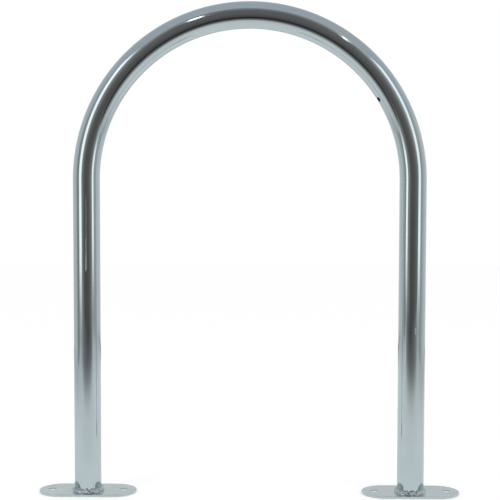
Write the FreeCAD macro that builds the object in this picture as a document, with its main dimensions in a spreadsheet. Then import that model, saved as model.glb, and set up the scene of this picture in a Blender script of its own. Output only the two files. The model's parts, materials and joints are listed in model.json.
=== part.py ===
# Hoop barrier: one bent steel tube standing on two bolt-down foot plates, fillet-welded and zinc-plated.
# Millimetres. +Z is up, X runs along the hoop and Y through it, with the front at -Y. The origin is on
# the ground, midway between the legs, so the feet rest on Z = 0.
import FreeCAD, Part
import os
from enum import IntEnum
from math import pi

import Sketcher
from FreeCAD import Vector

# Driving dimensions: alias, value, and what it measures.
DIMENSIONS = [
    ("tube_od", 48.3, "outer diameter of the hoop's tube"),
    ("tube_wall", 2.6, "wall of the hoop's tube"),
    ("leg_spacing", 585, "distance between the axes of the two legs"),
    ("overall_height", 883, "ground to the crown of the hoop"),
    ("plate_length", 176, "foot plate along the hoop, over its round ends"),
    ("plate_width", 80, "foot plate through the hoop"),
    ("plate_thickness", 4, "foot plate, stock thickness"),
    ("plate_edge_break", 0.6, "45 degree break of the edges of the foot plate"),
    ("bolt_hole", 14, "anchor bolt hole in the foot plate"),
    ("bolt_hole_edge", 23, "end of the plate to the centre of a bolt hole"),
    ("drain_hole", 16, "drain through the foot plate, inside the tube"),
    ("weld_reach", 7, "leg of the weld along the plate"),
    ("weld_rise", 6, "leg of the weld up the tube"),
    ("vent_hole", 9, "plating vent drilled through the inside of the bend"),
    ("vent_rise", 32, "degrees round the bend from its start to the vent"),
    ("vent_turn", 20, "degrees round the tube from the inside of the bend to the vent, frontwards"),
]

# Sizes that follow from the driving ones, as the expressions that bind the features.
LEG_X = "(dims.leg_spacing / 2)"
BEND_START_Z = "(dims.overall_height - dims.tube_od / 2 - dims.leg_spacing / 2)"
TUBE_RADIUS = "(dims.tube_od / 2)"
TUBE_BORE = "(dims.tube_od - 2 * dims.tube_wall)"
VENT_RISE = "(dims.vent_rise * 1 deg)"
VENT_TURN = "(dims.vent_turn * 1 deg)"
PLATE_END_X = "((dims.plate_length - dims.plate_width) / 2)"
BOLT_HOLE_X = "(dims.plate_length / 2 - dims.bolt_hole_edge)"

UPWARDS = Vector(0, 0, 1)

# A cut that leaves more than this share of its piece has missed it.
MISSED_SHARE = 0.9999


class Spot(IntEnum):
    """The points of a line or arc in a sketch, as its constraints number them."""

    START = 1
    END = 2
    CENTRE = 3


class Axis(IntEnum):
    """The axes of a sketch itself, as its constraints number them."""

    X = -1
    Y = -2


ORIGIN = (Axis.X, Spot.START)


def make_sheet(doc):
    """The spreadsheet of driving dimensions, one aliased cell each."""
    sheet = doc.addObject("Spreadsheet::Sheet", "dims")
    for row, (alias, value, meaning) in enumerate(DIMENSIONS, start=1):
        sheet.set(f"A{row}", alias)
        sheet.set(f"B{row}", str(value))
        sheet.set(f"C{row}", meaning)
        sheet.setAlias(f"B{row}", alias)
    doc.recompute()


def make_body(doc, label):
    """An empty body whose label names the piece."""
    body = doc.addObject("PartDesign::Body", label)
    body.Label = label
    return body


def add_sketch(body, name, plane, height=None):
    """A sketch on one of the body's own origin planes, raised along its normal by an expression."""
    sketch = body.newObject("Sketcher::SketchObject", name)
    support = next(feature for feature in body.Origin.OriginFeatures if feature.Role == plane)
    sketch.AttachmentSupport = [(support, "")]
    sketch.MapMode = "FlatFace"
    if height:
        sketch.setExpression("AttachmentOffset.Base.z", height)
    return sketch


def amount(sketch, expression):
    """What an expression of the sheet comes to, so that geometry is drawn at its true size."""
    return float(sketch.evalExpression(expression))


def relate(sketch, kind, *where):
    """A constraint without a size, such as Tangent or Vertical."""
    sketch.addConstraint(Sketcher.Constraint(kind, *where))


def dimension(sketch, name, expression, kind, *where):
    """A named size in a sketch, bound to an expression of the sheet."""
    index = sketch.addConstraint(Sketcher.Constraint(kind, *where, amount(sketch, expression)))
    sketch.renameConstraint(index, name)
    sketch.setExpression(f"Constraints.{name}", expression)


def add_circle(sketch, name, diameter, offset=None, side=1):
    """A circle at the sketch's origin, or offset from it along X, to the right or (side -1) to the left."""
    centre = Vector(side * amount(sketch, offset) if offset else 0, 0, 0)
    circle = sketch.addGeometry(Part.Circle(centre, UPWARDS, amount(sketch, diameter) / 2))
    if offset:
        ends = (*ORIGIN, circle, Spot.CENTRE) if side > 0 else (circle, Spot.CENTRE, *ORIGIN)
        relate(sketch, "PointOnObject", circle, Spot.CENTRE, Axis.X)
        dimension(sketch, f"{name}_x", offset, "DistanceX", *ends)
    else:
        relate(sketch, "Coincident", circle, Spot.CENTRE, *ORIGIN)
    dimension(sketch, name, diameter, "Diameter", circle)


def must_have_cut(feature, base):
    """Stops the build if a feature that should remove metal removed none."""
    if feature.Shape.Volume > base.Shape.Volume * MISSED_SHARE:
        raise RuntimeError(f"{feature.Label} cut nothing out of {base.Label}")


def make_hoop_tube(doc):
    """One length of round tube, bent through a half turn between straight legs, with a plating vent."""
    body = make_body(doc, "hoop_tube")

    # The centre line of the tube: up the left leg, over in a half circle, down the right leg.
    path = add_sketch(body, "tube_centre_line", "XZ_Plane")
    leg_x = amount(path, LEG_X)
    foot_z = amount(path, "dims.plate_thickness")
    bend_z = amount(path, BEND_START_Z)
    bend_circle = Part.Circle(Vector(0, bend_z, 0), UPWARDS, leg_x)
    left = path.addGeometry(Part.LineSegment(Vector(-leg_x, foot_z, 0), Vector(-leg_x, bend_z, 0)))
    bend = path.addGeometry(Part.ArcOfCircle(bend_circle, 0, pi))
    right = path.addGeometry(Part.LineSegment(Vector(leg_x, bend_z, 0), Vector(leg_x, foot_z, 0)))
    relate(path, "Tangent", left, Spot.END, bend, Spot.END)
    relate(path, "Tangent", right, Spot.START, bend, Spot.START)
    relate(path, "Vertical", left)
    relate(path, "Vertical", right)
    relate(path, "Symmetric", left, Spot.START, right, Spot.END, Axis.Y)
    dimension(path, "leg_spacing", "dims.leg_spacing", "DistanceX", left, Spot.START, right, Spot.END)
    dimension(path, "foot", "dims.plate_thickness", "DistanceY", *ORIGIN, left, Spot.START)
    dimension(path, "bend_start", BEND_START_Z, "DistanceY", *ORIGIN, left, Spot.END)

    # The ring that is carried along it, drawn where the left leg meets its plate.
    section = add_sketch(body, "tube_section", "XY_Plane", "dims.plate_thickness")
    add_circle(section, "outside", "dims.tube_od", LEG_X, side=-1)
    add_circle(section, "bore", TUBE_BORE, LEG_X, side=-1)
    doc.recompute()
    tube = body.newObject("PartDesign::AdditivePipe", "bent_tube")
    tube.Profile = section
    tube.Spine = (path, ["Edge1", "Edge2", "Edge3"])
    doc.recompute()

    # The vent is drawn on the centre line and cut outwards, so that it goes through one wall only.
    outline = add_sketch(body, "vent_outline", "XY_Plane")
    outline.setExpression(
        "AttachmentOffset",
        f"placement(vector({LEG_X} * cos({VENT_RISE}); 0; {BEND_START_Z} + {LEG_X} * sin({VENT_RISE}));"
        f" rotation(vector(0; 1; 0); -90 deg - {VENT_RISE}) * rotation(vector(1; 0; 0); {VENT_TURN}))",
    )
    add_circle(outline, "vent", "dims.vent_hole")
    doc.recompute()
    vent = body.newObject("PartDesign::Pocket", "plating_vent")
    vent.Profile = outline
    vent.Reversed = True
    vent.setExpression("Length", "dims.tube_od")
    doc.recompute()
    must_have_cut(vent, tube)
    return body


def make_foot_plate(doc, label, side):
    """Flat bar with full-round ends and broken edges, a bolt hole near each end and a drain between."""
    body = make_body(doc, label)
    outline = add_sketch(body, f"{label}_outline", "XY_Plane")
    end_x = amount(outline, PLATE_END_X)
    half_width = amount(outline, "dims.plate_width") / 2
    corners = [Vector(x * end_x, y * half_width, 0) for x, y in ((1, 1), (-1, 1), (-1, -1), (1, -1))]
    west_circle = Part.Circle(Vector(-end_x, 0, 0), UPWARDS, half_width)
    east_circle = Part.Circle(Vector(end_x, 0, 0), UPWARDS, half_width)
    back = outline.addGeometry(Part.LineSegment(corners[0], corners[1]))
    west = outline.addGeometry(Part.ArcOfCircle(west_circle, pi / 2, 3 * pi / 2))
    front = outline.addGeometry(Part.LineSegment(corners[2], corners[3]))
    east = outline.addGeometry(Part.ArcOfCircle(east_circle, 3 * pi / 2, 5 * pi / 2))
    for one, other in ((back, west), (west, front), (front, east), (east, back)):
        relate(outline, "Tangent", one, Spot.END, other, Spot.START)
    relate(outline, "Horizontal", back)
    relate(outline, "Equal", west, east)
    relate(outline, "Symmetric", west, Spot.CENTRE, east, Spot.CENTRE, *ORIGIN)
    dimension(outline, "width", "dims.plate_width", "DistanceY", front, Spot.END, back, Spot.START)
    dimension(outline, "end_x", PLATE_END_X, "DistanceX", *ORIGIN, east, Spot.CENTRE)
    doc.recompute()
    bar = body.newObject("PartDesign::Pad", f"{label}_bar")
    bar.Profile = outline
    bar.setExpression("Length", "dims.plate_thickness")
    doc.recompute()

    # Only the upper outline is broken: the lower one lies on the ground.
    upper_edges = [
        f"Edge{number}"
        for number, edge in enumerate(bar.Shape.Edges, start=1)
        if edge.BoundBox.ZMin > bar.Shape.BoundBox.Center.z
    ]
    broken = body.newObject("PartDesign::Chamfer", f"{label}_broken_edges")
    broken.Base = (bar, upper_edges)
    broken.setExpression("Size", "dims.plate_edge_break")
    doc.recompute()
    must_have_cut(broken, bar)

    centres = add_sketch(body, f"{label}_bolt_centres", "XY_Plane", "dims.plate_thickness")
    add_circle(centres, "east_bolt", "dims.bolt_hole", BOLT_HOLE_X, side=1)
    add_circle(centres, "west_bolt", "dims.bolt_hole", BOLT_HOLE_X, side=-1)
    doc.recompute()
    bolt_holes = body.newObject("PartDesign::Hole", f"{label}_bolt_holes")
    bolt_holes.Profile = centres
    doc.recompute()
    bolt_holes.DepthType = "ThroughAll"
    bolt_holes.setExpression("Diameter", "dims.bolt_hole")
    doc.recompute()
    must_have_cut(bolt_holes, broken)

    drain_outline = add_sketch(body, f"{label}_drain_outline", "XY_Plane", "dims.plate_thickness")
    add_circle(drain_outline, "drain", "dims.drain_hole")
    doc.recompute()
    drain = body.newObject("PartDesign::Pocket", f"{label}_drain")
    drain.Profile = drain_outline
    drain.Type = "ThroughAll"
    doc.recompute()
    must_have_cut(drain, bolt_holes)
    body.setExpression("Placement.Base.x", f"{side} * {LEG_X}")
    return body


def make_weld_bead(doc, label, side):
    """The fillet weld all round the foot of a leg: a triangle turned about the leg's axis."""
    body = make_body(doc, label)
    profile = add_sketch(body, f"{label}_profile", "XZ_Plane")
    root = Vector(amount(profile, TUBE_RADIUS), amount(profile, "dims.plate_thickness"), 0)
    toe = root + Vector(amount(profile, "dims.weld_reach"), 0, 0)
    top = root + Vector(0, amount(profile, "dims.weld_rise"), 0)
    on_plate = profile.addGeometry(Part.LineSegment(root, toe))
    face = profile.addGeometry(Part.LineSegment(toe, top))
    on_tube = profile.addGeometry(Part.LineSegment(top, root))
    for one, other in ((on_plate, face), (face, on_tube), (on_tube, on_plate)):
        relate(profile, "Coincident", one, Spot.END, other, Spot.START)
    relate(profile, "Horizontal", on_plate)
    relate(profile, "Vertical", on_tube)
    dimension(profile, "tube_face", TUBE_RADIUS, "DistanceX", *ORIGIN, on_plate, Spot.START)
    dimension(profile, "plate_face", "dims.plate_thickness", "DistanceY", *ORIGIN, on_plate, Spot.START)
    dimension(profile, "reach", "dims.weld_reach", "DistanceX", on_plate, Spot.START, on_plate, Spot.END)
    dimension(profile, "rise", "dims.weld_rise", "DistanceY", on_tube, Spot.END, on_tube, Spot.START)
    doc.recompute()
    ring = body.newObject("PartDesign::Revolution", f"{label}_ring")
    ring.Profile = profile
    ring.ReferenceAxis = (profile, ["V_Axis"])
    ring.Angle = 360
    body.setExpression("Placement.Base.x", f"{side} * {LEG_X}")
    return body


def check(doc, pieces):
    """Stops the build if an object failed, a sketch is loose or a piece isn't one valid solid."""
    for thing in doc.Objects:
        if "Invalid" in thing.State or "Error" in thing.State:
            raise RuntimeError(f"{thing.Label} failed: {thing.State}")
        if thing.isDerivedFrom("Sketcher::SketchObject") and not thing.FullyConstrained:
            raise RuntimeError(f"{thing.Label} isn't fully constrained")
    for piece in pieces:
        shape = piece.Shape
        if shape.isNull() or not shape.isValid() or len(shape.Solids) != 1:
            raise RuntimeError(f"{piece.Label} isn't one valid solid")


def export(pieces):
    """Writes each piece to parts/ under its label and prints its size."""
    os.makedirs("parts", exist_ok=True)
    for piece in pieces:
        piece.Shape.exportStep(f"parts/{piece.Label}.step")
        box = piece.Shape.optimalBoundingBox()
        print(
            f"{piece.Label}: {box.XLength:.2f} x {box.YLength:.2f} x {box.ZLength:.2f} mm,"
            f" {piece.Shape.Volume / 1000:.2f} cm3"
        )


doc = FreeCAD.newDocument("hoop_barrier")
make_sheet(doc)
pieces = [make_hoop_tube(doc)]
for hand, side in (("left", -1), ("right", 1)):
    pieces.append(make_foot_plate(doc, f"{hand}_foot_plate", side))
    pieces.append(make_weld_bead(doc, f"{hand}_weld_bead", side))
doc.recompute()
check(doc, pieces)
export(pieces)
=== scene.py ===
# A hoop barrier: one bent steel tube on two bolt-down foot plates, welded together and then zinc-plated.
# Metres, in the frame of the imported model: +Z up, X along the hoop, the front at -Y, the feet on Z = 0.
import json
import math

import bmesh
import bpy
import numpy as np
from mathutils import Matrix, Vector


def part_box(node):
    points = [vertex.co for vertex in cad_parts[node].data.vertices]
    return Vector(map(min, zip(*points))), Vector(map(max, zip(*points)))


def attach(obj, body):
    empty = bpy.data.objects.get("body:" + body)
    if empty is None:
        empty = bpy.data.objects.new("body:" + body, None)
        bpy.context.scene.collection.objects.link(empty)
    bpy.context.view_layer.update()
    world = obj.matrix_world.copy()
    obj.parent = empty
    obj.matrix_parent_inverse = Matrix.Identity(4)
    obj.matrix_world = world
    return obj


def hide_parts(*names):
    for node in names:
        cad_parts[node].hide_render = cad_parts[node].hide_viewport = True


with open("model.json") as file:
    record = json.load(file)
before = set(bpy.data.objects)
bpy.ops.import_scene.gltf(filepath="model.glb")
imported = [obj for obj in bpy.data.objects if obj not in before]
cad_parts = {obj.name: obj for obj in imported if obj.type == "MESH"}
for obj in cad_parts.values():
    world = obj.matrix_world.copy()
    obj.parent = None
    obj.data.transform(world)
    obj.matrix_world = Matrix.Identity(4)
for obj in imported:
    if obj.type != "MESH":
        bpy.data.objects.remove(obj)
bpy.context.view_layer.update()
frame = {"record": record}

# Foot plates: two lengths of rolled flat bar with full-round ends. Each is punched from above for two
# anchor bolts and for a drain under the tube, so its upper edges are rolled over and its lower ones are
# nearly square. They lie flat on the ground, and the legs are welded to them.
FOOT_PLATES = {"left_plate": "left_foot_plate", "right_plate": "right_foot_plate"}
DRAIN_RADIUS = 0.008
EDGE_ROLL = 0.0006
EDGE_DROP = 0.0004
EDGE_STEPS = 7
LOWER_BREAK = 0.0002
RIM_LAND = 0.003
OUTLINE_POINTS = 240
HOLE_POINTS = 64
PLATE_SHARP_DEGREES = 40
PLATE_COLOURS = (0.53, 0.622, 0.64), (0.55, 0.638, 0.652)
PLATE_SCRATCH = (0.47, 0.54, 0.55)
PLATE_ROUGHNESS = (0.23, 0.36)
# A painted highlight: the walls of the holes are painted brighter than the plate.
PUNCHED_HIGHLIGHT = (0.73, 0.79, 0.79)
PUNCHED_SMOOTHER = 0.14
CLOUD_CONTRAST = (0.32, 0.68)
GRAIN_CONTRAST = (0.3, 0.7)
LINE_STRETCH = 0.012
SCRATCH_SLANT = (0.35, 0.2, 0.0)
SCRATCH_STRETCH = 0.03
SCRATCH_FINENESS = 45.0
SCRATCH_CRESTS = (0.72, 0.78)
SCRATCH_PATCHES = (0.5, 0.62)
RUB_PATCHES = (0.5, 0.72)

anchor_holes = next(mount for mount in frame["record"]["mounts"] if mount["kind"] == "bolt_pattern")["dims"]
bolt_hole_x = anchor_holes["spacing_x_mm"] / 2000
bolt_hole_radius = anchor_holes["hole_r_mm"] / 1000


def oblong(half_length, half_width):
    """Outline of a flat bar with round ends, and its normals, which point out of the metal.

    Even steps round the outline: a point on the straight core, moved by half the width along a normal
    that turns half a turn at each end and stands still along each side.
    """
    core = half_length - half_width
    ends = np.cumsum([0, math.pi * half_width, 2 * core, math.pi * half_width, 2 * core])
    walked = np.linspace(0, ends[-1], OUTLINE_POINTS, endpoint=False)
    turned = np.interp(walked, ends, np.array([-0.5, 0.5, 0.5, 1.5, 1.5]) * math.pi)
    normals = np.stack([np.cos(turned), np.sin(turned)], -1)
    middle = np.stack([np.interp(walked, ends, [core, core, -core, -core, core]), 0 * walked], -1)
    return middle + half_width * normals, normals


def round_hole(centre_x, radius):
    """Rim of a hole, and its normals, which point out of the metal and so to the hole's middle."""
    angle = np.linspace(0, 2 * math.pi, HOLE_POINTS, endpoint=False)
    normals = -np.stack([np.cos(angle), np.sin(angle)], -1)
    return np.array([centre_x, 0]) - radius * normals, normals


def punched_edge(thickness):
    """Profile of a cut edge as (distance in from the cut, height), from the upper face to the lower.

    A flat land, a quarter ellipse where the face rolls over, the cut straight down, and a small break.
    """
    turn = np.linspace(0, math.pi / 2, EDGE_STEPS)
    roll = np.stack([EDGE_ROLL * (1 - np.sin(turn)), thickness - EDGE_DROP * (1 - np.cos(turn))], -1)
    foot = [(0, LOWER_BREAK), (LOWER_BREAK, 0), (RIM_LAND, 0)]
    return np.concatenate([[(RIM_LAND, thickness)], roll, foot])


def bands(numbers):
    """Quads between neighbouring rows of point numbers, where each row is a closed loop."""
    following = np.roll(numbers, -1, axis=1)
    corners = numbers[:-1], following[:-1], following[1:], numbers[1:]
    return np.stack(corners, -1).reshape(-1, 4)


def new_piece(name, points, faces, material, sharp_degrees):
    """A mesh object at the origin; level openings are filled, and all faces point outwards.

    Only the plates have openings: the loops of their upper and lower faces, each filled by itself.
    """
    mesh = bpy.data.meshes.new(name)
    mesh.from_pydata(points.tolist(), [], faces.tolist())
    shape = bmesh.new()
    shape.from_mesh(mesh)
    rims = [edge for edge in shape.edges if edge.is_boundary]
    for height in {round(edge.verts[0].co.z, 5) for edge in rims}:
        level = [edge for edge in rims if round(edge.verts[0].co.z, 5) == height]
        bmesh.ops.triangle_fill(shape, edges=level, use_beauty=True)
    bmesh.ops.recalc_face_normals(shape, faces=shape.faces[:])
    shape.to_mesh(mesh)
    shape.free()
    mesh.shade_smooth()
    mesh.set_sharp_from_angle(angle=math.radians(sharp_degrees))
    mesh.materials.append(material)
    piece = bpy.data.objects.new(name, mesh)
    bpy.context.scene.collection.objects.link(piece)
    return piece


def mark_points(piece, name, values):
    """Keeps a number or a vector for each point of a piece, which its material reads by that name."""
    kind, field = ("FLOAT", "value") if values.ndim == 1 else ("FLOAT_VECTOR", "vector")
    attribute = piece.data.attributes.new(name, kind, "POINT")
    attribute.data.foreach_set(field, values.astype(np.float32).ravel())


def stands_for(piece, node):
    """The piece shows in place of a node of the model, which is hidden, and moves with the root body."""
    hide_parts(node)
    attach(piece, "root")


def foot_plate(name, node, material):
    """The punched edge carried round the outline and round each hole, closed by two level faces.

    The points are marked "punched", with 1 on the walls of the holes.
    """
    low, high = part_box(node)
    size, middle = high - low, (low + high) / 2
    profile = punched_edge(size.z)
    loops = [oblong(size.x / 2, size.y / 2), round_hole(0, DRAIN_RADIUS)]
    loops += [round_hole(side * bolt_hole_x, bolt_hole_radius) for side in (-1, 1)]
    points, faces, walls = [], [], []
    for number, (loop, normals) in enumerate(loops):
        numbers = np.arange(len(profile) * len(loop)).reshape(len(profile), len(loop))
        faces.append(sum(map(len, points)) + bands(numbers))
        level = loop[None] - profile[:, :1, None] * normals[None]
        height = np.broadcast_to(profile[:, 1:, None], (*level.shape[:2], 1))
        points.append(np.concatenate([level, height], -1).reshape(-1, 3) + (middle.x, middle.y, low.z))
        walls.append(np.repeat((profile[:, 0] == 0) & (number > 0), len(loop)))
    plate = new_piece(name, np.concatenate(points), np.concatenate(faces), material, PLATE_SHARP_DEGREES)
    mark_points(plate, "punched", np.concatenate(walls))
    return plate


def add_node(tree, kind, inputs, **settings):
    """A shader node with its settings made and its inputs either set to a value or linked to a socket."""
    node = tree.nodes.new(kind)
    for setting, value in settings.items():
        setattr(node, setting, value)
    for socket, value in inputs.items():
        if isinstance(value, bpy.types.NodeSocket):
            tree.links.new(value, node.inputs[socket])
        else:
            node.inputs[socket].default_value = value
    return node


def maths(tree, operation, *values):
    """One step of arithmetic on values or sockets."""
    return add_node(tree, "ShaderNodeMath", dict(enumerate(values)), operation=operation).outputs[0]


def added(tree, *terms):
    """The total of (value, weight) pairs."""
    total = 0.0
    for value, weight in terms:
        total = maths(tree, "MULTIPLY_ADD", value, weight, total)
    return total


def span(tree, value, low, high, into_low=0.0, into_high=1.0):
    """The value's range from low to high, smoothly made into another range."""
    limits = {"Value": value, "From Min": low, "From Max": high, "To Min": into_low, "To Max": into_high}
    return add_node(tree, "ShaderNodeMapRange", limits, interpolation_type="SMOOTHSTEP").outputs["Result"]


def mixed(tree, factor, one, other):
    """One colour fading into another as the factor goes from 0 to 1."""
    fade = add_node(tree, "ShaderNodeMix", {"Factor": factor}, data_type="RGBA")
    for socket, colour in (("A", one), ("B", other)):
        target = next(entry for entry in fade.inputs if entry.name == socket and entry.type == "RGBA")
        if isinstance(colour, bpy.types.NodeSocket):
            tree.links.new(colour, target)
        else:
            target.default_value = (*colour, 1.0)
    return next(leave for leave in fade.outputs if leave.type == "RGBA")


def noise(tree, place, scale, detail, roughness):
    """Soft uneven values about a half, with finer and weaker waves on them for more detail."""
    inputs = {"Vector": place, "Scale": scale, "Detail": detail, "Roughness": roughness}
    return add_node(tree, "ShaderNodeTexNoise", inputs).outputs["Fac"]


def drawn_out(tree, place, share):
    """A place with its Z shrunk to a share, which draws a pattern out along Z."""
    shrunk = {0: place, 1: (1.0, 1.0, share)}
    return add_node(tree, "ShaderNodeVectorMath", shrunk, operation="MULTIPLY").outputs["Vector"]


def turned_place(tree, place, angles):
    """A place turned about the origin."""
    return add_node(tree, "ShaderNodeMapping", {"Vector": place, "Rotation": angles}).outputs["Vector"]


def new_group(name, inputs, outputs):
    """An empty shader node group with named sockets, a vector and numbers, with its entry and exit."""
    group = bpy.data.node_groups.new(name, "ShaderNodeTree")
    for socket in inputs:
        kind = "NodeSocketVector" if socket == "Vector" else "NodeSocketFloat"
        group.interface.new_socket(socket, in_out="INPUT", socket_type=kind)
    for socket in outputs:
        group.interface.new_socket(socket, in_out="OUTPUT", socket_type="NodeSocketFloat")
    return group, group.nodes.new("NodeGroupInput").outputs, group.nodes.new("NodeGroupOutput").inputs


def plating_bloom():
    """Zinc's look: soft clouds a few centimetres wide and fine crystal grain."""
    inputs, outputs = ("Vector", "Cloud Scale", "Grain Scale"), ("Cloud", "Grain")
    group, entry, leave = new_group("plating_bloom", inputs, outputs)
    cloud = noise(group, entry["Vector"], entry["Cloud Scale"], detail=3.0, roughness=0.55)
    grain = noise(group, entry["Vector"], entry["Grain Scale"], detail=2.0, roughness=0.6)
    group.links.new(span(group, cloud, *CLOUD_CONTRAST), leave["Cloud"])
    group.links.new(span(group, grain, *GRAIN_CONTRAST), leave["Grain"])
    return group


def mill_lines():
    """Fine lines that drawing or rolling leaves along a bar: noise that is drawn out along Z."""
    group, entry, leave = new_group("mill_lines", ("Vector", "Fineness"), ("Lines",))
    along = drawn_out(group, entry["Vector"], LINE_STRETCH)
    group.links.new(noise(group, along, entry["Fineness"], detail=3.0, roughness=0.6), leave["Lines"])
    return group


def handling_marks():
    """Fine scratches and dull rubs from handling.

    The scratches are the crests of a noise drawn out along a slant, and show only in patches.
    """
    group, entry, leave = new_group("handling_marks", ("Vector", "Scale"), ("Scratches", "Rubs"))
    slant = drawn_out(group, turned_place(group, entry["Vector"], SCRATCH_SLANT), SCRATCH_STRETCH)
    fine = maths(group, "MULTIPLY", entry["Scale"], SCRATCH_FINENESS)
    crests = noise(group, slant, fine, detail=0.0, roughness=0.5)
    patch = noise(group, entry["Vector"], entry["Scale"], detail=2.0, roughness=0.5)
    thin, shown = span(group, crests, *SCRATCH_CRESTS), span(group, patch, *SCRATCH_PATCHES)
    group.links.new(maths(group, "MULTIPLY", thin, shown), leave["Scratches"])
    group.links.new(span(group, patch, *RUB_PATCHES), leave["Rubs"])
    return group


bloom, lines, marks = plating_bloom(), mill_lines(), handling_marks()


def place_group(tree, group, inputs):
    """Places a node group in a material and returns its outputs."""
    return add_node(tree, "ShaderNodeGroup", inputs, node_tree=group).outputs


def object_place(tree):
    """The place of a point of an object, in metres."""
    return add_node(tree, "ShaderNodeTexCoord", {}).outputs["Object"]


def point_mark(tree, name, output):
    """What mark_points kept under a name, as a number or as a vector."""
    return add_node(tree, "ShaderNodeAttribute", {}, attribute_name=name).outputs[output]


def new_metal(name):
    """A material whose one shader is fully metallic, with its node tree and that shader's inputs."""
    material = bpy.data.materials.new(name)
    material.use_nodes = True
    shader = material.node_tree.nodes["Principled BSDF"]
    shader.inputs["Metallic"].default_value = 1.0
    return material, material.node_tree, shader.inputs


def roughened(tree, limits, *terms):
    """Roughness between two limits, reached where all (value, weight) pairs are 0 and where all are 1."""
    return span(tree, added(tree, *terms), 0.0, sum(weight for _, weight in terms), *limits)


def set_finish(tree, shader, colour, rough, height, strength, depth):
    """Gives a shader its colour, its roughness and a bump of some strength and depth from a height."""
    bump = {"Height": height, "Strength": strength, "Distance": depth}
    bump = add_node(tree, "ShaderNodeBump", bump).outputs["Normal"]
    for socket, value in (("Base Color", colour), ("Roughness", rough), ("Normal", bump)):
        tree.links.new(value, shader[socket])


def plate_zinc():
    """Satin zinc over rolled bar: cloudy, with faint rolling lines, rubbed spots and smoother punched walls.

    The punched walls are also painted brighter, as a painted highlight.
    """
    material, tree, shader = new_metal("plate_zinc")
    place = object_place(tree)
    along_bar = turned_place(tree, place, (0, math.radians(90), 0))
    look = place_group(tree, bloom, {"Vector": place, "Cloud Scale": 45.0, "Grain Scale": 900.0})
    rolled = place_group(tree, lines, {"Vector": along_bar, "Fineness": 700.0})
    worn = place_group(tree, marks, {"Vector": along_bar, "Scale": 38.0})
    punched = point_mark(tree, "punched", "Fac")
    colour = mixed(tree, look["Cloud"], *PLATE_COLOURS)
    colour = mixed(tree, worn["Scratches"], colour, PLATE_SCRATCH)
    # Painted highlight: the walls of the holes are painted brighter.
    colour = mixed(tree, punched, colour, PUNCHED_HIGHLIGHT)
    uneven = (look["Cloud"], 0.06), (look["Grain"], 0.05), (worn["Rubs"], 0.05)
    rough = added(tree, (roughened(tree, PLATE_ROUGHNESS, *uneven), 1.0), (punched, -PUNCHED_SMOOTHER))
    height = added(tree, (look["Grain"], 0.3), (rolled["Lines"], 0.7), (worn["Scratches"], -0.5))
    set_finish(tree, shader, colour, rough, height, strength=0.25, depth=0.00001)
    return material


plate_finish = plate_zinc()
for name, node in FOOT_PLATES.items():
    stands_for(foot_plate(name, node, plate_finish), node)

# Hoop tube: one length of welded steel tube, drawn through a die and bent cold through a half turn over
# a round former, which leaves two straight legs. A vent is drilled through the inside of the bend, so
# that plating fluid can run out. Bright zinc covers it inside and out.
TUBE_WALL = 0.0026
VENT_RADIUS = 0.0045
VENT_RISE = math.radians(32)
VENT_TURN = math.radians(20)
VENT_RIM_ROUND = 0.0005
VENT_RIM_STEPS = 5
STEPS_ROUND = 96
STEPS_PER_LEG = 40
STEPS_ROUND_BEND = 180
WINDOW_STEPS = 4
WINDOW_PITCH = 0.0017
WINDOW_LOOPS = [0.35, 0.65]
TUBE_SHARP_DEGREES = 40
TUBE_COLOURS = (0.503, 0.592, 0.622), (0.523, 0.608, 0.638)
TUBE_SCRATCH = (0.58, 0.66, 0.68)
TUBE_ROUGHNESS = (0.07, 0.11)
SCUFF_ROUGHER = 0.4
SCUFFS = (
    (0.0027, 0.495, 0.0009, 0.050), (0.0023, 0.431, 0.0016, 0.038), (0.0020, 0.414, 0.0016, 0.018),
    (-0.0037, 1.749, 0.0016, 0.008),
)

tube_low, tube_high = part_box("hoop_tube")
plate_low, plate_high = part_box("right_foot_plate")
bend_radius = (plate_low.x + plate_high.x) / 2
tube_radius = tube_high.x - bend_radius
bend_z = tube_high.z - tube_radius - bend_radius
leg_length = bend_z - tube_low.z
bend_length = math.pi * bend_radius
vent_along = leg_length + bend_length - bend_radius * VENT_RISE


def bent_tube(along, angle, radius):
    """A point of the tube, from its distance along the centre line, its angle and its radius.

    The angle is 0 at the inside of the bend and grows towards the front. Along a leg the section moves
    straight; along the bend it turns about the bend's middle by the distance over the bend's radius.
    """
    turned = np.clip((along - leg_length) / bend_radius, 0, math.pi)
    below_bend = np.maximum(leg_length - along, 0) + np.maximum(along - leg_length - bend_length, 0)
    reach = bend_radius - radius * np.cos(angle)
    x, z = -reach * np.cos(turned), bend_z + reach * np.sin(turned) - below_bend
    return np.stack([x, -radius * np.sin(angle), z], -1)


def straight_tube(along, angle, radius):
    """The same point before the tube was bent, with the tube's length along Z."""
    return np.stack([radius * np.cos(angle), radius * np.sin(angle), along], -1)


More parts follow.
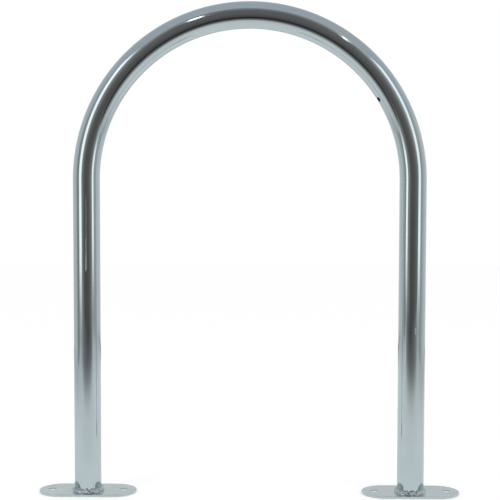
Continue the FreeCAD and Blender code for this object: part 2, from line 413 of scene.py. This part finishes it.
def tube_skin(radius, outward):
    """One skin of the tube: (along, angle, radius) points, quads, and the loops at its feet and vent.

    An even grid, less a square window at the vent. Loops of points fill that window: from the drilled
    circle, where the skin rounds into the hole by a quarter circle, out to the window's border.
    """
    window = vent_along + WINDOW_PITCH * np.arange(-WINDOW_STEPS, WINDOW_STEPS + 1)
    bend_end = leg_length + bend_length
    before_window = round(STEPS_ROUND_BEND * (window[0] - leg_length) / bend_length)
    after_window = round(STEPS_ROUND_BEND * (bend_end - window[-1]) / bend_length)
    stations = np.concatenate([
        np.linspace(0, leg_length, STEPS_PER_LEG, endpoint=False),
        np.linspace(leg_length, window[0], before_window, endpoint=False),
        window[:-1],
        np.linspace(window[-1], bend_end, after_window, endpoint=False),
        np.linspace(bend_end, bend_end + leg_length, STEPS_PER_LEG + 1),
    ])
    angles = VENT_TURN + 2 * math.pi / STEPS_ROUND * (np.arange(STEPS_ROUND) - WINDOW_STEPS)
    along, angle = np.meshgrid(stations, angles, indexing="ij")
    grid = np.stack([along, angle, np.full_like(along, radius)], -1)
    numbers = np.arange(along.size).reshape(along.shape)
    quads = bands(numbers)
    first, width = STEPS_PER_LEG + before_window, 2 * WINDOW_STEPS
    row, column = np.divmod(quads[:, 0], STEPS_ROUND)
    outside = (row < first) | (row >= first + width) | (column >= width)

    side = np.arange(width)
    border_row = np.concatenate([0 * side, side, 0 * side + width, width - side])
    border_row, border_column = first + border_row, np.roll(border_row, -width)
    border = grid[border_row, border_column, :2] - (vent_along, VENT_TURN)
    turn = np.arctan2(border[:, 1] * tube_radius, border[:, 0])
    stretch = bend_radius / (bend_radius - radius * math.cos(VENT_TURN))
    circle = VENT_RADIUS * stretch * np.cos(turn), np.arcsin(VENT_RADIUS * np.sin(turn) / radius)
    outwards = border - np.stack(circle, -1)
    rounding = np.linspace(0, math.pi / 2, VENT_RIM_STEPS)
    edge = VENT_RIM_ROUND * (1 - np.cos(rounding)) / np.linalg.norm(outwards * (1, radius), axis=1).mean()
    share = np.append(edge, WINDOW_LOOPS)[:, None]
    sunk = np.append(VENT_RIM_ROUND * (1 - np.sin(rounding)), np.zeros(len(WINDOW_LOOPS)))[:, None]
    ring_along = vent_along + circle[0] + share * outwards[:, 0]
    ring_angle = VENT_TURN + circle[1] + share * outwards[:, 1]
    patch = np.stack([ring_along, ring_angle, radius - outward * sunk + 0 * ring_along], -1)
    patch_numbers = numbers.size + np.arange(ring_along.size).reshape(ring_along.shape)
    filled = bands(np.concatenate([patch_numbers, numbers[border_row, border_column][None]]))
    points = np.concatenate([grid.reshape(-1, 3), patch.reshape(-1, 3)])
    return points, np.concatenate([quads[outside], filled]), (numbers[0], numbers[-1], patch_numbers[0])


def hoop_tube(name, material):
    """The outer skin and the bore, joined by a ring at each foot and by the wall of the vent.

    The points are marked "unbent", with their place on the straight tube.
    """
    outside, outer_quads, outer_loops = tube_skin(tube_radius, 1)
    bore, bore_quads, bore_loops = tube_skin(tube_radius - TUBE_WALL, -1)
    shift = len(outside)
    joins = [bands(np.stack([one, shift + other])) for one, other in zip(outer_loops, bore_loops)]
    used, faces = np.unique(np.concatenate([outer_quads, shift + bore_quads, *joins]), return_inverse=True)
    place = np.concatenate([outside, bore])[used].T
    hoop = new_piece(name, bent_tube(*place), faces.reshape(-1, 4), material, TUBE_SHARP_DEGREES)
    mark_points(hoop, "unbent", straight_tube(*place))
    return hoop


def axes_of(tree, vector):
    """The X, Y and Z of a vector."""
    return add_node(tree, "ShaderNodeSeparateXYZ", {"Vector": vector}).outputs


def scuffs(tree, place):
    """Dull marks on the front of the legs, which fade out over the outer half of their widths.

    Each is a place across and along the unbent tube, with half its width and half its length.
    """
    axes = axes_of(tree, place)
    front = span(tree, axes["Y"], 0.0, tube_radius / 2)
    total = 0.0
    for across, along, half_width, half_length in SCUFFS:
        mark = front
        for axis, middle, reach in (("X", across, half_width), ("Z", along, half_length)):
            gone = maths(tree, "ABSOLUTE", maths(tree, "SUBTRACT", axes[axis], middle))
            mark = maths(tree, "MULTIPLY", mark, span(tree, gone, reach / 2, reach, 1.0, 0.0))
        total = maths(tree, "ADD", mark, total)
    return total


def tube_zinc():
    """Bright zinc over drawn tube: nearly a mirror, with faint lines along the tube and small dull rubs."""
    material, tree, shader = new_metal("tube_zinc")
    place = point_mark(tree, "unbent", "Vector")
    look = place_group(tree, bloom, {"Vector": place, "Cloud Scale": 22.0, "Grain Scale": 1400.0})
    drawn = place_group(tree, lines, {"Vector": place, "Fineness": 900.0})
    worn = place_group(tree, marks, {"Vector": place, "Scale": 26.0})
    colour = mixed(tree, look["Cloud"], *TUBE_COLOURS)
    colour = mixed(tree, worn["Scratches"], colour, TUBE_SCRATCH)
    uneven = (look["Cloud"], 0.03), (look["Grain"], 0.02), (worn["Rubs"], 0.05), (drawn["Lines"], 0.04)
    rough = added(tree, (roughened(tree, TUBE_ROUGHNESS, *uneven), 1.0), (scuffs(tree, place), SCUFF_ROUGHER))
    height = added(tree, (look["Grain"], 0.2), (drawn["Lines"], 0.8), (worn["Scratches"], -0.6))
    set_finish(tree, shader, colour, rough, height, strength=0.3, depth=0.000004)
    return material


stands_for(hoop_tube("hoop", tube_zinc()), "hoop_tube")

# Weld beads: a fillet of steel laid by hand round each leg's foot, convex and lumpy, with the fine crescent
# ripples of a moving arc, and plated over together with the rest. It fills the corner between the tube and
# its plate and runs out further before and behind the leg, where the plate leaves room.
WELD_BEADS = {"left_weld": ("left_weld_bead", 3), "right_weld": ("right_weld_bead", 8)}
WELD_STEPS_ROUND = 480
WELD_STEPS_ACROSS = 18
WELD_SUNK = 0.0003
WELD_SIDE_SHARE = 0.6
WELD_FRONT_SHARE = 1.15
WELD_REACH_WANDER = (3, 17, 0.0011)
WELD_RISE_WANDER = (3, 19, 0.0012)
WELD_RIPPLES = 74
WELD_RIPPLE_DEPTH = 0.00022
WELD_RIPPLE_LEVEL = 0.6
WELD_RIPPLE_BOW = 2.4
WELD_RIPPLE_WANDER = (2, 9, 1.5)
WELD_LUMP_WANDER = (11, 27, 0.24)
# Painted shade: the weld is painted darker in its ripples' valleys, in the hollows between lumps and along
# its toe.
WELD_VALLEY_POWER = 3
WELD_HOLLOW_GAIN = 3
WELD_HOLLOW_LEAST = 0.2
WELD_TOE_START = 1.3
WELD_TOE_FALL = 4
WELD_TOE_SHADE = 0.6
WELD_TOE_WANDER = (5, 23, 0.6)
WELD_SHARP_DEGREES = 60
WELD_COLOURS = (0.54, 0.61, 0.62), (0.62, 0.68, 0.68)
# The colour of that painted shade.
WELD_VALLEY_SHADE = (0.24, 0.26, 0.26)
WELD_ROUGHNESS = (0.16, 0.42)


def wander(angle, draw, coarsest, finest, size):
    """A smooth uneven line round a full turn: a sum of sines with drawn phases and heights."""
    counts = np.arange(coarsest, finest + 1)
    phases = draw.uniform(0, 2 * math.pi, len(counts))
    heights = draw.uniform(0.4, 1, len(counts)) / math.sqrt(len(counts))
    return size * np.sin(counts * angle[..., None] + phases) @ heights


def weld_bead(name, node, seed, material):
    """A ring swept round the leg: its section goes from the toe on the plate up to the toe on the tube.

    The section is a quarter of an ellipse, steep at the plate. Its two half widths wander round the leg,
    and it swells by a wandering lump and by ripples, the size of a sine round the leg that is bowed across
    the bead. Two more points close it inside the tube's wall. The points are marked "dull_shaded_valley",
    with up to 1 between ripples, in the hollows between lumps, and here and there along the toe before and
    behind the leg: the weld is duller there, and painted darker as painted shade.
    """
    low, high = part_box(node)
    leg_x, foot_z = (low.x + high.x) / 2, low.z
    full_reach, full_rise = (high.x - low.x) / 2 - tube_radius, high.z - low.z
    draw = np.random.default_rng(seed)
    angle, climb = np.meshgrid(
        np.linspace(0, 2 * math.pi, WELD_STEPS_ROUND, endpoint=False),
        np.linspace(0, math.pi / 2, WELD_STEPS_ACROSS), indexing="ij")
    crown, before_leg = np.sin(2 * climb), np.sin(angle) ** 2
    reach = full_reach * (WELD_SIDE_SHARE + (WELD_FRONT_SHARE - WELD_SIDE_SHARE) * before_leg)
    reach += wander(angle, draw, *WELD_REACH_WANDER)
    rise = full_rise + wander(angle, draw, *WELD_RISE_WANDER)
    bow = WELD_RIPPLE_BOW * np.cos(2 * climb) ** 2
    ripple = np.abs(np.sin(WELD_RIPPLES / 2 * angle + bow + wander(angle, draw, *WELD_RIPPLE_WANDER)))
    lump = wander(angle, draw, *WELD_LUMP_WANDER)
    swell = 1 + crown * (lump + WELD_RIPPLE_DEPTH / full_rise * (ripple - WELD_RIPPLE_LEVEL))
    out = reach * np.cos(climb) * swell - WELD_SUNK * np.sin(climb)
    up = rise * np.sin(climb) * swell - WELD_SUNK * np.cos(climb)
    inside = np.full((WELD_STEPS_ROUND, 2), -WELD_SUNK)
    out = np.concatenate([out, inside], -1)
    up = np.concatenate([up, inside + (full_rise / 2, 0)], -1)

    # Painted shade: a mask that darkens the creases, and the toe where the bead meets the plate.
    hollow = crown * np.clip(-WELD_HOLLOW_GAIN * lump - WELD_HOLLOW_LEAST, 0, 1)
    toe = np.clip(WELD_TOE_START - WELD_TOE_FALL * climb, 0, 1) * before_leg
    toe *= np.clip(WELD_TOE_SHADE + wander(angle, draw, *WELD_TOE_WANDER), 0, 1)
    dull_shaded_valley = np.maximum(crown * (1 - ripple) ** WELD_VALLEY_POWER, np.maximum(hollow, toe))
    dull_shaded_valley = np.concatenate([dull_shaded_valley, 0 * inside], -1)

    radius, angle = tube_radius + out, np.broadcast_to(angle[:, :1], out.shape)
    points = np.stack([leg_x + radius * np.cos(angle), radius * np.sin(angle), foot_z + up], -1)
    numbers = np.arange(out.size).reshape(out.shape)
    faces = bands(np.concatenate([numbers, numbers[:1]]))
    bead = new_piece(name, points.reshape(-1, 3), faces, material, WELD_SHARP_DEGREES)
    mark_points(bead, "dull_shaded_valley", dull_shaded_valley.ravel())
    return bead


def weld_zinc():
    """Zinc over weld metal: smoother on the ripples' crowns, dull between them, where painted shade darkens
    it.
    """
    material, tree, shader = new_metal("weld_zinc")
    place = object_place(tree)
    look = place_group(tree, bloom, {"Vector": place, "Cloud Scale": 160.0, "Grain Scale": 2200.0})
    dull_shaded_valley = point_mark(tree, "dull_shaded_valley", "Fac")
    # Painted shade: the weld is painted darker where that mask is high.
    colour = mixed(tree, dull_shaded_valley, mixed(tree, look["Cloud"], *WELD_COLOURS), WELD_VALLEY_SHADE)
    rough = roughened(tree, WELD_ROUGHNESS, (look["Cloud"], 0.08), (look["Grain"], 0.06), (dull_shaded_valley, 0.2))
    set_finish(tree, shader, colour, rough, look["Grain"], strength=0.4, depth=0.00003)
    return material


weld_finish = weld_zinc()
for name, (node, seed) in WELD_BEADS.items():
    stands_for(weld_bead(name, node, seed, weld_finish), node)

# Studio: a pale floor, and for the bright metal to show, white paper that rises at its front, the bare dark
# floor before it, a dark screen round the camera and grey walls. Two tall soft lamps stand before the hoop
# at its sides, and two lit panels hang overhead.
FLOOR_HALF = 6.0
FLOOR_Z = -0.0002
FLOOR_COLOUR = (0.8, 0.8, 0.8, 1)
FLOOR_LIFT = 0.35
PAPER_HALF = 1.8
PAPER_STEPS = 29
PAPER_FRONT = -0.45
PAPER_LENGTHS = [-4, 0, 1]
PAPER_RISE_LENGTH = 0.60
PAPER_RISE_HEIGHT = 0.18
PAPER_BOW = 0.20
PAPER_WHITE = (0.87, 0.87, 0.87)
PAPER_DIM = (0.80, 0.785, 0.765)
PAPER_SIDES = (0.62, 0.62, 0.62)
PAPER_BACK = (0.2, 0.2, 0.2)
PAPER_SHADE = (0.215, 0.205, 0.205)
PAPER_DARK = (0.086, 0.078, 0.078), (0.150, 0.142, 0.140)
SHADE_SIDES = (0.56, 0.56, 0.56)
PAPER_DIM_FADE = (-0.12, -0.60)
PAPER_SHADE_FADE = (-0.52, -0.83)
PAPER_DARK_FADE = (-0.76, -1.0)
PAPER_SIDE_FADE = (0.7, PAPER_HALF)
PAPER_BACK_FADE = (1.2, 1.9)
DARK_SIDE_FADE = (0.0, 0.36)
SHADE_SIDE_FADE = (0.3, 1.7)
BARE_FLOOR_DROP = 0.001
BARE_FLOOR_COLOUR = (0.03, 0.03, 0.03)
BARE_SIDE_FADE = (1.3, PAPER_HALF)
SCREEN_HALF = 2.0
SCREEN_Y = -2.15
SCREEN_TOP = 3.5
SCREEN_COLOURS = (0.114, 0.1, 0.095), (1, 0.95, 0.91)
SCREEN_LIGHT = (
    ("Z", 0.2, 1.1, 0.065), ("Z", 1.7, 3.6, 0.2), ("X", -0.45, -1.95, 0.32), ("X", 0.2, 1.2, 0.06),
)
SCREEN_RIGHT_FADE = (0.85, 2.2)
SCREEN_RIGHT_LIGHT = (0.4, 1.3, 0.10, 0.45)
WALL_GREYS = {
    -180: 0.79, -158: 0.85, -137: 0.74, -99: 0.68, -87: 0.64, -79: 0.38, -66: 0.30, -56: 0.42,
    56: 0.42, 76: 0.45, 90: 0.59, 101: 0.67, 114: 0.74, 140: 0.77, 158: 0.76, 180: 0.79,
}
WALL_FADE = math.sin(math.radians(5)), math.sin(math.radians(55))
CEILING_COLOUR = (0.552, 0.566, 0.598)
ROOM_LIGHT = (0.8, 0.8, 0.8)
LAMPS = {
    "left_soft_lamp": ((-1.25, -0.96, 0.965), (0, 0, 0.965), (0.51, 1.73), 1.12, 0.30),
    "right_soft_lamp": ((1.255, -0.785, 0.945), (0, 0, 0.945), (0.46, 1.65), 0.98, 0.30),
    "left_ceiling_lamp": ((-0.51, -1.70, 1.98), (-0.51, -1.70, 0), (0.125, 0.62), 4.0, 0.0),
    "right_ceiling_lamp": ((0.93, -1.70, 2.00), (0.93, -1.70, 0), (0.050, 0.72), 4.5, 0.0),
}


def level_sheet(half, front, back, z):
    """The four corners of a level sheet."""
    across, along = np.meshgrid([-half, half], [front, back], indexing="ij")
    return np.stack([across, along, z + 0 * across], -1)


def stage_sheet(name, points, material, only_in_metal):
    """A sheet from a grid of points. One that only the metal shows is hidden to all but its reflections."""
    numbers = np.arange(points[..., 0].size).reshape(points.shape[:2])
    corners = numbers[:-1, :-1], numbers[1:, :-1], numbers[1:, 1:], numbers[:-1, 1:]
    mesh = bpy.data.meshes.new(name)
    mesh.from_pydata(points.reshape(-1, 3).tolist(), [], np.stack(corners, -1).reshape(-1, 4).tolist())
    mesh.materials.append(material)
    sheet = bpy.data.objects.new(name, mesh)
    for ray in ("camera", "diffuse", "transmission", "shadow"):
        setattr(sheet, "visible_" + ray, not only_in_metal)
    bpy.context.scene.collection.objects.link(sheet)
    return sheet


def new_stage_material(name):
    """A material with an empty node tree, with that tree."""
    material = bpy.data.materials.new(name)
    material.use_nodes = True
    material.node_tree.nodes.clear()
    return material, material.node_tree


def studio_floor():
    """White to the eye, except for the object's shadow: a pale matt floor that is lifted a little."""
    material, tree = new_stage_material("studio_floor")
    eye = add_node(tree, "ShaderNodeLightPath", {}).outputs["Is Camera Ray"]
    matt = add_node(tree, "ShaderNodeBsdfDiffuse", {"Color": FLOOR_COLOUR}).outputs[0]
    lift = {"Color": (1, 1, 1, 1), "Strength": maths(tree, "MULTIPLY", eye, FLOOR_LIFT)}
    lift = add_node(tree, "ShaderNodeEmission", lift).outputs[0]
    both = add_node(tree, "ShaderNodeAddShader", {0: matt, 1: lift}).outputs[0]
    add_node(tree, "ShaderNodeOutputMaterial", {"Surface": both})
    return material


def glowing(material, tree, colour):
    """Finishes a material that gives off a colour at strength 1."""
    light = add_node(tree, "ShaderNodeEmission", {"Color": colour, "Strength": 1.0}).outputs[0]
    add_node(tree, "ShaderNodeOutputMaterial", {"Surface": light})
    return material


def white_paper():
    """White paper, darker to its sides and its back.

    Towards its front it dims, falls into shade and goes dark. These three steps follow the distance forward
    of the hoop, less the bow of the paper's front edge.
    """
    material, tree = new_stage_material("white_paper")
    axes = axes_of(tree, object_place(tree))
    aside = maths(tree, "ABSOLUTE", axes["X"])
    forward = added(tree, (axes["Y"], 1.0), (maths(tree, "MULTIPLY", aside, aside), PAPER_BOW))
    white = mixed(tree, span(tree, forward, *PAPER_DIM_FADE), PAPER_WHITE, PAPER_DIM)
    white = mixed(tree, span(tree, aside, *PAPER_SIDE_FADE), white, PAPER_SIDES)
    white = mixed(tree, span(tree, axes["Y"], *PAPER_BACK_FADE), white, PAPER_BACK)
    dark = mixed(tree, span(tree, aside, *DARK_SIDE_FADE), *PAPER_DARK)
    shade = mixed(tree, span(tree, forward, *PAPER_DARK_FADE), PAPER_SHADE, dark)
    shade = mixed(tree, span(tree, aside, *SHADE_SIDE_FADE), shade, SHADE_SIDES)
    return glowing(material, tree, mixed(tree, span(tree, forward, *PAPER_SHADE_FADE), white, shade))


def dark_floor():
    """The bare floor in front of the paper, lighter to its sides."""
    material, tree = new_stage_material("dark_floor")
    aside = maths(tree, "ABSOLUTE", axes_of(tree, object_place(tree))["X"])
    colour = mixed(tree, span(tree, aside, *BARE_SIDE_FADE), BARE_FLOOR_COLOUR, SHADE_SIDES)
    return glowing(material, tree, colour)


def dark_screen():
    """Dark cloth round the camera. A sum of fades along its axes makes it lighter upwards and to its sides.

    Towards its right edge it is the lighter, the higher the place.
    """
    material, tree = new_stage_material("dark_screen")
    axes = axes_of(tree, object_place(tree))
    fades = [(span(tree, axes[axis], start, end), weight) for axis, start, end, weight in SCREEN_LIGHT]
    right_edge = span(tree, axes["X"], *SCREEN_RIGHT_FADE), span(tree, axes["Z"], *SCREEN_RIGHT_LIGHT)
    return glowing(material, tree, mixed(tree, added(tree, *fades, right_edge), *SCREEN_COLOURS))


def studio_world():
    """White to the eye, a soft grey light on the floor, and grey walls with two dark gaps for the metal.

    The walls' brightness is a ramp over the direction round the hoop, in degrees from the front with the left
    side below 0, and it fades with height into an even ceiling.
    """
    world = bpy.data.worlds.new("studio")
    world.use_nodes = True
    tree = world.node_tree
    tree.nodes.clear()
    rays = add_node(tree, "ShaderNodeLightPath", {}).outputs
    axes = axes_of(tree, add_node(tree, "ShaderNodeTexCoord", {}).outputs["Generated"])
    azimuth = maths(tree, "ARCTAN2", axes["X"], maths(tree, "MULTIPLY", axes["Y"], -1.0))
    turn = {"Value": azimuth, "From Min": -math.pi, "From Max": math.pi}
    turn = add_node(tree, "ShaderNodeMapRange", turn).outputs["Result"]
    ramp = add_node(tree, "ShaderNodeValToRGB", {"Fac": turn})
    stops = ramp.color_ramp.elements
    for degrees, grey in WALL_GREYS.items():
        if abs(degrees) == 180:
            stop = stops[0] if degrees < 0 else stops[-1]
        else:
            stop = stops.new(degrees / 360 + 0.5)
        stop.color = (grey, grey, grey, 1)
    room = mixed(tree, span(tree, axes["Z"], *WALL_FADE), ramp.outputs["Color"], CEILING_COLOUR)
    room = mixed(tree, rays["Is Glossy Ray"], ROOM_LIGHT, room)
    seen = maths(tree, "ADD", rays["Is Camera Ray"], rays["Is Transmission Ray"])
    light = {"Color": mixed(tree, seen, room, (1, 1, 1)), "Strength": 1.0}
    light = add_node(tree, "ShaderNodeBackground", light).outputs[0]
    add_node(tree, "ShaderNodeOutputWorld", {"Surface": light})
    return world


def lamp(name, place, aim, size, glare, foot):
    """An area lamp of the given width and length, turned to a point, that the camera doesn't see.

    Its power is its glare times its area times pi. It fades out over its foot, the lowest part of its length.
    """
    light = bpy.data.lights.new(name, "AREA")
    light.shape, light.energy = "RECTANGLE", glare * size[0] * size[1] * math.pi
    light.size, light.size_y = size
    if foot:
        light.use_nodes = True
        tree = light.node_tree
        share = axes_of(tree, add_node(tree, "ShaderNodeNewGeometry", {}).outputs["Parametric"])
        strength = span(tree, share["Y"], 0.0, foot / size[1])
        tree.links.new(strength, tree.nodes["Emission"].inputs["Strength"])
    holder = bpy.data.objects.new(name, light)
    holder.location = place
    holder.rotation_euler = (Vector(aim) - Vector(place)).to_track_quat("-Z", "Y").to_euler()
    holder.visible_camera = False
    bpy.context.scene.collection.objects.link(holder)


floor = level_sheet(FLOOR_HALF, -FLOOR_HALF, FLOOR_HALF, FLOOR_Z)
stage_sheet("floor", floor, studio_floor(), only_in_metal=False).visible_glossy = False
across, reach = np.meshgrid(np.linspace(-PAPER_HALF, PAPER_HALF, PAPER_STEPS), PAPER_LENGTHS, indexing="ij")
along = PAPER_FRONT - PAPER_BOW * across**2 - PAPER_RISE_LENGTH * reach
height = FLOOR_Z + PAPER_RISE_HEIGHT * np.clip(reach, 0, None)
stage_sheet("paper", np.stack([across, along, height], -1), white_paper(), only_in_metal=True)
bare = level_sheet(PAPER_HALF, SCREEN_Y, PAPER_FRONT - PAPER_RISE_LENGTH, FLOOR_Z - BARE_FLOOR_DROP)
stage_sheet("dark_floor", bare, dark_floor(), only_in_metal=True)
across, height = np.meshgrid([-SCREEN_HALF, SCREEN_HALF], [0, SCREEN_TOP], indexing="ij")
screen = np.stack([across, SCREEN_Y + 0 * across, height], -1)
stage_sheet("screen", screen, dark_screen(), only_in_metal=True)
bpy.context.scene.world = studio_world()
for name, values in LAMPS.items():
    lamp(name, *values)

# Camera: about two metres before the hoop, a little right of its middle and above half its height, so that
# it looks slightly down at the plates.
CAMERA_TARGET = Vector((0.0013, 0, 0.4408))
CAMERA_DISTANCE = 2.1
CAMERA_PITCH = 0.0566
CAMERA_YAW = -0.0156
CAMERA_ROLL = -0.0020
CAMERA_LENS = 84.19
CAMERA_SENSOR = 36

lens = bpy.data.cameras.new("camera")
lens.lens, lens.sensor_width = CAMERA_LENS, CAMERA_SENSOR
camera = bpy.data.objects.new("camera", lens)
turned = Matrix.Rotation(-CAMERA_YAW, 4, "Z") @ Matrix.Rotation(math.pi / 2 - CAMERA_PITCH, 4, "X")
turned = turned @ Matrix.Rotation(-CAMERA_ROLL, 4, "Z")
backwards = turned @ Vector((0, 0, CAMERA_DISTANCE))
camera.matrix_world = Matrix.Translation(CAMERA_TARGET + backwards) @ turned
bpy.context.scene.collection.objects.link(camera)
bpy.context.scene.camera = camera
bpy.context.scene.view_settings.view_transform = "Standard"
